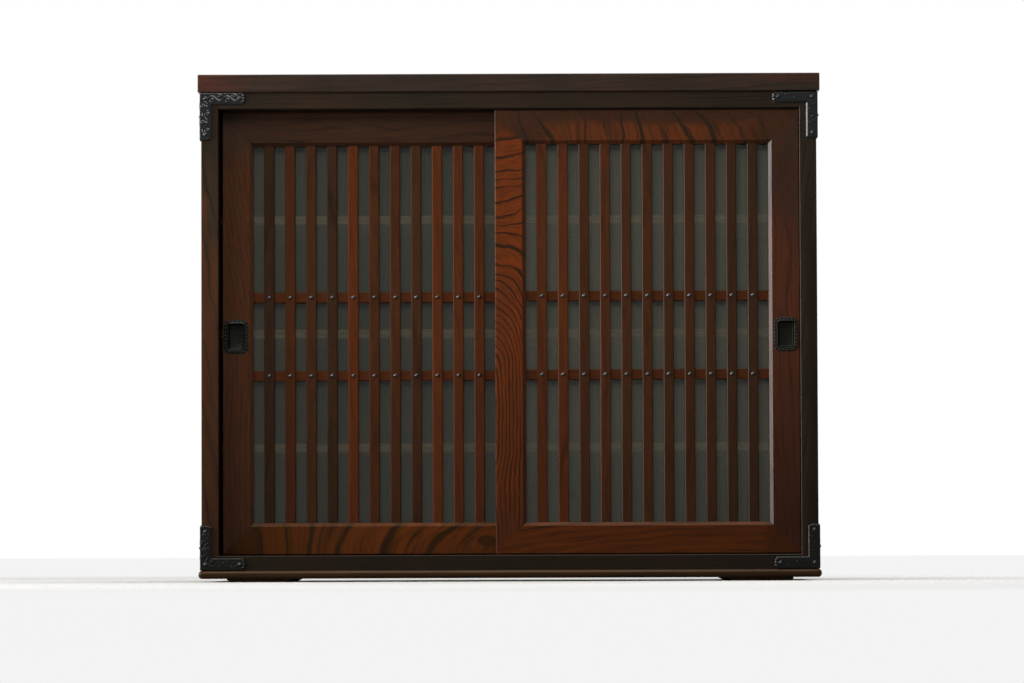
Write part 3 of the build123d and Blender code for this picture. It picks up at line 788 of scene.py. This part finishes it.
CHASED_IRON = iron_material(
    "chased_iron", (18, 21, 20), roughness=0.19, index=1.6, grain_mm=2.2, relief_mm=0.028)
SMOOTH_IRON = iron_material(
    "smooth_iron", (9, 11, 10), roughness=0.35, index=1.5, grain_mm=2.2, relief_mm=0.004, grit_mm=0.001)
LOW_IRON = iron_material(
    "low_iron", (9, 11, 9), roughness=0.28, index=1.42, grain_mm=2.2, relief_mm=0.008, grit_mm=0.003)
PULL_IRON = iron_material(
    "pull_iron", (27, 28, 21), roughness=0.26, index=1.3, grain_mm=3.0, relief_mm=0.04)
NAIL_IRON = iron_material(
    "nail_iron", (22, 23, 22), roughness=0.2, index=1.6, grain_mm=1.2, relief_mm=0.03)
STUD_METAL = iron_material(
    "stud_metal", (38, 25, 18), roughness=0.08, index=1.75, grain_mm=1.5, relief_mm=0.015)
dress("iron_nails", NAIL_IRON)
dress("left_door_studs", STUD_METAL)
dress("right_door_studs", STUD_METAL)


# ---- Pieces ----
def mesh_piece(name, points_mm, faces, material, body, replaced):
    """Adds a smooth-shaded mesh that rides on a body and stands for one CAD node."""
    mesh = bpy.data.meshes.new(name)
    mesh.from_pydata([Vector(p) * MM for p in points_mm], [], faces)
    mesh.validate()
    mesh.update()
    mesh.materials.append(material)
    mesh.shade_smooth()
    piece = bpy.data.objects.new(name, mesh)
    bpy.context.scene.collection.objects.link(piece)
    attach(piece, body)
    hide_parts(replaced)


# ---- Corner irons: a vine in relief on a plate that is folded round the corner of the case ----
# A place on the unfolded plate is u along it, below 0 on the front and above 0 on the side, and v in
# from the end of the case. All lengths are in millimetres.
IRON_STEP = 0.6
IRON_LEG = 18.0
IRON_FRONT = 68.0
IRON_SIDE = 60.0
IRON_THICKNESS = 3.0
IRON_FOLD = 1.8
END_POINT = 3.2
END_CUSP = 0.8
UPRIGHT_END_SHARE = 0.8

# The vine: a stem with a curl at each bend.
STEM_START = 13.0
STEM_END_INSET = 9.0
SIDE_STEM_END_INSET = 8.0
UPRIGHT_STEM_START = 14.0
STEM_SWING = 3.4
STEM_WAVE = 25.0
STEM_POINTS_PER_MM = 1.5
CURL_RADIUS = 3.0
CURL_OFFSET = 3.2
CURL_TURNS = 1.35
CURL_TIGHTENING = 0.55
CURL_POINTS = 26

# Depths below the outermost face, and how far the ornament rises from the ground.
GROUND_DEPTH = 0.75
DEEPEST = 2.93
STEM_HALF_WIDTH = 1.25
STEM_RISE = 0.72
RIM_INSET = 2.9
RIM_HALF_WIDTH = 0.8
RIM_RISE = 0.2
BEVEL_SLOPE = 0.9
LEVEL_LEG_BOLDNESS = 0.72
NAIL_INSET = 9.0
SEAT_DEPTH = 0.02
SEAT_RADIUS = 3.1
SEAT_SLOPE = 0.8
BERRY_RISE = 0.7
BERRY_RADIUS = 1.4
BERRIES = (
    (-64.8, 4.8), (-64.8, 9.0), (-64.8, 13.2), (-48, 5.5), (-35, 10.5), (-12.5, 27), (-9, 38), (-12, 47),
    (24, 6), (37, 11), (9, 40))


def vine(start, end, curl_side=1):
    """Points of a stem that winds between two places on the plate, and of the curls at its bends."""
    start, end = np.array(start), np.array(end)
    length = np.linalg.norm(end - start)
    forward = (end - start) / length
    across = np.array([-forward[1], forward[0]])
    waves = max(1, round(length / STEM_WAVE))
    shares = np.linspace(0, 1, int(length * STEM_POINTS_PER_MM))
    stem = [
        start + forward * length * share + across * STEM_SWING * math.sin(2 * math.pi * waves * share)
        for share in shares]
    lines = [stem]
    for bend in range(2 * waves):
        side = curl_side if bend % 2 else -curl_side
        root = start + forward * length * (bend + 0.5) / (2 * waves)
        centre = root + across * side * CURL_OFFSET
        curl = []
        for turn in np.linspace(0, CURL_TURNS, CURL_POINTS):
            radius = CURL_RADIUS * (1 - CURL_TIGHTENING * turn)
            angle = math.atan2(-across[1] * side, -across[0] * side) + 2 * math.pi * turn * side
            curl.append(centre + radius * np.array([math.cos(angle), math.sin(angle)]))
        lines.append(curl)
    return lines


def distance_to_lines(u, v, lines):
    """Distance of each place on the plate from the nearest line."""
    nearest = np.full(u.shape, np.inf)
    for line in lines:
        for (u0, v0), (u1, v1) in zip(line, line[1:]):
            du, dv = u1 - u0, v1 - v0
            share = np.clip(((u - u0) * du + (v - v0) * dv) / (du * du + dv * dv), 0, 1)
            nearest = np.minimum(nearest, np.hypot(u - u0 - share * du, v - v0 - share * dv))
    return nearest


def edge_distance(u, v, height):
    """Distance of each place on the plate from its nearest edge."""
    far = np.minimum(IRON_FRONT + u, IRON_SIDE - u)
    in_corner = np.hypot(np.maximum(IRON_LEG - np.abs(u), 0), np.maximum(IRON_LEG - v, 0))
    beside_upright = np.where(v > IRON_LEG, IRON_LEG - np.abs(u), in_corner)
    inner = np.where(np.abs(u) > IRON_LEG, IRON_LEG - v, beside_upright)
    return np.minimum.reduce([v, far, height - v, inner])


def relief(u, v, height, boldness, bevel):
    """How far each place lies below the outermost face of the iron, which slopes off over its bevel."""
    middle = IRON_LEG / 2
    upright_end = height - STEM_END_INSET
    lines = vine((-STEM_START, middle), (-IRON_FRONT + STEM_END_INSET, middle))
    lines += vine((STEM_START, middle), (IRON_SIDE - SIDE_STEM_END_INSET, middle))
    lines += vine((-middle, UPRIGHT_STEM_START), (-middle, upright_end))
    lines += vine((middle, UPRIGHT_STEM_START), (middle, upright_end), curl_side=-1)
    boldness = boldness * np.where(u < -IRON_LEG, LEVEL_LEG_BOLDNESS, 1)
    stem = np.clip(1 - (distance_to_lines(u, v, lines) / STEM_HALF_WIDTH) ** 2, 0, 1)
    depth = GROUND_DEPTH - STEM_RISE * boldness * stem
    edge = edge_distance(u, v, height)
    rim = np.clip(1 - np.abs(edge - RIM_INSET) / RIM_HALF_WIDTH, 0, 1)
    depth -= RIM_RISE * boldness * rim * np.clip(1 - (GROUND_DEPTH - depth), 0, 1)
    depth = np.maximum(depth, GROUND_DEPTH + BEVEL_SLOPE * np.clip(bevel - edge, -bevel, bevel))
    nails = (
        (-NAIL_INSET, NAIL_INSET), (-IRON_FRONT + NAIL_INSET, NAIL_INSET), (-NAIL_INSET, height - NAIL_INSET),
        (IRON_SIDE - NAIL_INSET, NAIL_INSET), (NAIL_INSET, height / 2))
    for nail_u, nail_v in nails:
        seat = np.clip((SEAT_RADIUS - np.hypot(u - nail_u, v - nail_v)) / SEAT_SLOPE, 0, 1)
        depth = depth * (1 - seat) + SEAT_DEPTH * seat
    for berry_u, berry_v in BERRIES:
        bulge = 1 - (np.hypot(u - berry_u, v - berry_v) / BERRY_RADIUS) ** 2
        depth = np.where(bulge > 0, np.minimum(depth, GROUND_DEPTH - BERRY_RISE * bulge), depth)
    return np.clip(depth, 0, DEEPEST)


def folded(u, depth):
    """Distances in from the corner, along the front and along the side, of a place on the plate."""
    turn = np.clip((u + IRON_FOLD) / (2 * IRON_FOLD), 0, 1) * math.pi / 2
    inward = np.where(u < -IRON_FOLD, -u, IRON_FOLD * (1 - np.sin(turn)))
    back = np.where(u > IRON_FOLD, u, IRON_FOLD * (1 - np.cos(turn)))
    return inward + depth * np.sin(turn), back + depth * np.cos(turn)


def end_shape(across):
    """How far the end of a leg is cut back, from -1 to 1 across it: a point between two cusps."""
    return END_POINT * across**2 + END_CUSP * (1 - np.cos(4 * math.pi * across)) / 2


def plate_grid(height):
    """u and v of a grid over the plate, with a line of it on each inner edge of the legs."""
    count_u = round((IRON_FRONT + IRON_SIDE) / IRON_STEP)
    count_v = round(height / IRON_STEP)
    u, v = np.meshgrid(
        np.linspace(-IRON_FRONT, IRON_SIDE, count_u + 1), np.linspace(0, height, count_v + 1), indexing="ij")
    u = np.where(np.abs(np.abs(u) - IRON_LEG) < IRON_STEP / 2, np.sign(u) * IRON_LEG, u)
    v = np.where(np.abs(v - IRON_LEG) < IRON_STEP / 2, IRON_LEG, v)
    return u, v


def cut_ends(u, v, height):
    """u and v once the ends of the level legs and of the upright legs have their shape."""
    across = np.clip(v / IRON_LEG * 2 - 1, -1, 1)
    reach = np.where(u < 0, IRON_FRONT, IRON_SIDE)
    stretch = (reach - end_shape(across) - IRON_LEG) / (reach - IRON_LEG)
    cut_u = np.where(np.abs(u) > IRON_LEG, np.sign(u) * (IRON_LEG + (np.abs(u) - IRON_LEG) * stretch), u)
    across = np.clip(np.abs(u) / IRON_LEG * 2 - 1, -1, 1)
    stretch = (height - end_shape(across) * UPRIGHT_END_SHARE - IRON_LEG) / (height - IRON_LEG)
    cut_v = np.where(v > IRON_LEG, IRON_LEG + (v - IRON_LEG) * stretch, v)
    return cut_u, cut_v


def plate_cells(u, v):
    """The cells of the grid that lie on the plate."""
    cells = set()
    for i in range(u.shape[0] - 1):
        for j in range(u.shape[1] - 1):
            middle_u = abs(u[i, j] + u[i + 1, j]) / 2
            middle_v = (v[i, j] + v[i, j + 1]) / 2
            if middle_u < IRON_LEG or middle_v < IRON_LEG:
                cells.add((i, j))
    return cells


def corner_iron(node, side, top, boldness, bevel, material):
    """One iron, on the left (-1) or the right (1) and at the top or the bottom of the case.

    boldness is how far its ornament rises, from 0 to 1, and bevel how wide its sloping edge is.
    """
    low, high = box_mm(node)
    height = high.z - low.z
    corner_x = high.x if side > 0 else -low.x
    u, v = plate_grid(height)
    depth = relief(u, v, height, boldness, bevel)
    cut_u, cut_v = cut_ends(u, v, height)
    points, number = [], {}

    def vertex(i, j, is_rear):
        """The number of a point of the grid, on the front face or on the rear one."""
        key = (i, j, is_rear)
        if key not in number:
            inward, back = folded(cut_u[i, j], IRON_THICKNESS if is_rear else depth[i, j])
            z = high.z - cut_v[i, j] if top else low.z + cut_v[i, j]
            number[key] = len(points)
            points.append((side * (corner_x - inward), low.y + back, z))
        return number[key]

    faces = []
    cells = plate_cells(u, v)
    for i, j in sorted(cells):
        ring = [(i, j), (i + 1, j), (i + 1, j + 1), (i, j + 1)]
        faces.append([vertex(*corner, False) for corner in ring])
        faces.append([vertex(*corner, True) for corner in reversed(ring)])
        beside = [(i, j - 1), (i + 1, j), (i, j + 1), (i - 1, j)]
        for start, end, other in zip(ring, ring[1:] + ring[:1], beside):
            if other not in cells:
                wall = [(*end, False), (*start, False), (*start, True), (*end, True)]
                faces.append([vertex(*corner) for corner in wall])
    if (side > 0) == top:
        faces = [face[::-1] for face in faces]
    mesh_piece(f"{node}_relief", points, faces, material, "case", node)


corner_iron("top_left_corner_iron", -1, True, 0.95, 1.0, CHASED_IRON)
corner_iron("top_right_corner_iron", 1, True, 0.2, 2.4, SMOOTH_IRON)
corner_iron("bottom_left_corner_iron", -1, False, 0.7, 1.0, LOW_IRON)
corner_iron("bottom_right_corner_iron", 1, False, 0.2, 1.4, LOW_IRON)


# ---- Pulls: a cup with a beaded rim, in millimetres ----
PULL_PROUD = 1.4
PULL_ROUND = 10.0
SMALLEST_ROUND = 1.2
CORNER_STEPS = 12
BEAD_PITCH = 5.45
BEAD_INSET = 2.1
BEAD_RADIUS = 2.0
BEAD_MIDDLE = 0.55
BEAD_HALF_HEIGHT = 0.83
BEAD_TURNS = 12
BEAD_LEVELS = 6
PULL_PROFILE = (
    # inset from the edge of the flange, height above the face of the stile
    (4.2, -11.3), (4.2, -0.1), (0.05, 0.0), (0.0, 0.30), (0.3, 0.62), (0.9, 0.72), (3.9, 0.72), (4.4, 1.05),
    (4.9, 1.28), (5.3, 1.30), (5.7, 1.10), (6.0, 0.5), (6.4, -2.0), (7.3, -8.0), (7.9, -9.4), (9.0, -9.9),
)


def rounded_outline(inset, half_width, half_height):
    """Points of a rounded rectangle inside another one, anticlockwise from the front."""
    corner = max(PULL_ROUND - inset, SMALLEST_ROUND)
    centre_x, centre_z = half_width - inset - corner, half_height - inset - corner
    outline = []
    for quarter, (sign_x, sign_z) in enumerate(((1, 1), (-1, 1), (-1, -1), (1, -1))):
        for step in range(CORNER_STEPS + 1):
            angle = (quarter + step / CORNER_STEPS) * math.pi / 2
            outline.append((sign_x * centre_x + corner * math.cos(angle),
                            sign_z * centre_z + corner * math.sin(angle)))
    return outline


def evenly_along(outline, pitch):
    """Places at an even pitch round a closed outline."""
    ends = outline[1:] + outline[:1]
    lengths = [math.dist(a, b) for a, b in zip(outline, ends)]
    count = round(sum(lengths) / pitch)
    places, travelled, index = [], 0.0, 0
    for number in range(count):
        target = sum(lengths) * number / count
        while travelled + lengths[index] < target:
            travelled += lengths[index]
            index += 1
        share = (target - travelled) / lengths[index]
        (x0, z0), (x1, z1) = outline[index], ends[index]
        places.append((x0 + (x1 - x0) * share, z0 + (z1 - z0) * share))
    return places


def add_ring(points, ring_points):
    """Adds the points of a ring, and gives their numbers."""
    first = len(points)
    points.extend(ring_points)
    return list(range(first, len(points)))


def quads(rings):
    """Faces between each ring of points and the next."""
    return [
        quad for first, second in zip(rings, rings[1:])
        for quad in zip(first, first[1:] + first[:1], second[1:] + second[:1], second)]


def add_bead(points, faces, x, z, face_y):
    """Adds a flattened ball that lies on the face."""
    rings = []
    for level in range(1, BEAD_LEVELS):
        tilt = math.pi * level / BEAD_LEVELS
        radius = BEAD_RADIUS * math.sin(tilt)
        y = face_y - BEAD_MIDDLE - BEAD_HALF_HEIGHT * math.cos(tilt)
        angles = [2 * math.pi * turn / BEAD_TURNS for turn in range(BEAD_TURNS)]
        rings.append(add_ring(
            points, [(x + radius * math.cos(angle), y, z + radius * math.sin(angle)) for angle in angles]))
    faces += [(b, a, d, c) for a, b, c, d in quads(rings)]
    faces += [rings[0], rings[-1][::-1]]


def pull(node, body):
    """The recessed pull of one door."""
    low, high = box_mm(node)
    centre = (low + high) / 2
    half_width, half_height = (high.x - low.x) / 2, (high.z - low.z) / 2
    face_y = low.y + PULL_PROUD
    points = []
    rings = []
    for inset, rise in PULL_PROFILE:
        outline = rounded_outline(inset, half_width, half_height)
        rings.append(add_ring(points, [(centre.x + x, face_y - rise, centre.z + z) for x, z in outline]))
    faces = quads(rings)
    faces += [rings[0][::-1], rings[-1]]
    for x, z in evenly_along(rounded_outline(BEAD_INSET, half_width, half_height), BEAD_PITCH):
        add_bead(points, faces, centre.x + x, centre.z + z, face_y)
    mesh_piece(f"{node}_cup", points, faces, PULL_IRON, body, node)


pull("left_door_pull", "left_door")
pull("right_door_pull", "right_door")


# ---- Floor and background ----
FLOOR_REACH = 60.0  # metres
FLOOR_PALE, FLOOR_PALEST = (216, 215, 212), (222, 221, 218)
FLOOR_IN_REFLECTIONS = (120, 116, 110)
FADE_START, FADE_END = 800, 2500
FAR_FLOOR = 0.9
DIM_ROOM = 0.2
STUDIO_LIGHT = 0.28
SEEN = ("Camera", "Glossy", "Transmission")


def floor_material():
    """A pale floor, darker in reflections. Far from the cabinet it fades into the background."""
    material, tree, shader = new_material("floor")
    x, y, _ = place_in_mm(tree)
    grain = noise([x / 900, y / 900, 0.5], detail=3) * 0.5 + 0.5
    pale = mixed(FLOOR_PALE, FLOOR_PALEST, grain)
    straight = of_rays(tree, "Camera", "Transmission")
    tree.links.new(mixed(FLOOR_IN_REFLECTIONS, pale, straight), shader.inputs["Base Color"])
    shader.inputs["Roughness"].default_value = 0.85
    shader.inputs["Specular IOR Level"].default_value = 0.1
    glow = tree.nodes.new("ShaderNodeEmission")
    glow.inputs["Color"].default_value = WHITE
    level = straight.at_least(y.smooth(-900, 0)) * (FAR_FLOOR - DIM_ROOM) + DIM_ROOM
    tree.links.new(level.socket, glow.inputs["Strength"])
    far = (x * x + y * y).sqrt().smooth(FADE_START, FADE_END)
    faded = mixed_shaders(far * of_rays(tree, *SEEN), shader, glow)
    tree.links.new(faded.outputs[0], tree.nodes["Material Output"].inputs["Surface"])
    return material


def floor():
    """A wide plane under the cabinet."""
    mesh = bpy.data.meshes.new("floor")
    corners = [(x * FLOOR_REACH, y * FLOOR_REACH, 0) for x, y in ((-1, -1), (1, -1), (1, 1), (-1, 1))]
    mesh.from_pydata(corners, [], [(0, 1, 2, 3)])
    mesh.materials.append(floor_material())
    plane = bpy.data.objects.new("floor", mesh)
    bpy.context.scene.collection.objects.link(plane)


def studio():
    """An even white light. What is seen of the room is white behind and above, and dim elsewhere."""
    world = bpy.data.worlds.new("studio")
    world.use_nodes = True
    bpy.context.scene.world = world
    tree = world.node_tree
    light = tree.nodes.new("ShaderNodeBackground")
    light.inputs["Color"].default_value = WHITE
    light.inputs["Strength"].default_value = STUDIO_LIGHT
    coordinates = tree.nodes.new("ShaderNodeTexCoord")
    parts = tree.nodes.new("ShaderNodeSeparateXYZ")
    tree.links.new(coordinates.outputs["Generated"], parts.inputs[0])
    _, y, z = [Field(tree, output) for output in parts.outputs]
    white = y.smooth(-0.6, 0.2).at_least(z.smooth(0.35, 0.9))
    backdrop = tree.nodes["Background"]
    backdrop.inputs["Color"].default_value = WHITE
    tree.links.new((white * (1.0 - DIM_ROOM) + DIM_ROOM).socket, backdrop.inputs["Strength"])
    room = mixed_shaders(of_rays(tree, *SEEN), light, backdrop)
    tree.links.new(room.outputs[0], tree.nodes["World Output"].inputs["Surface"])


floor()
studio()
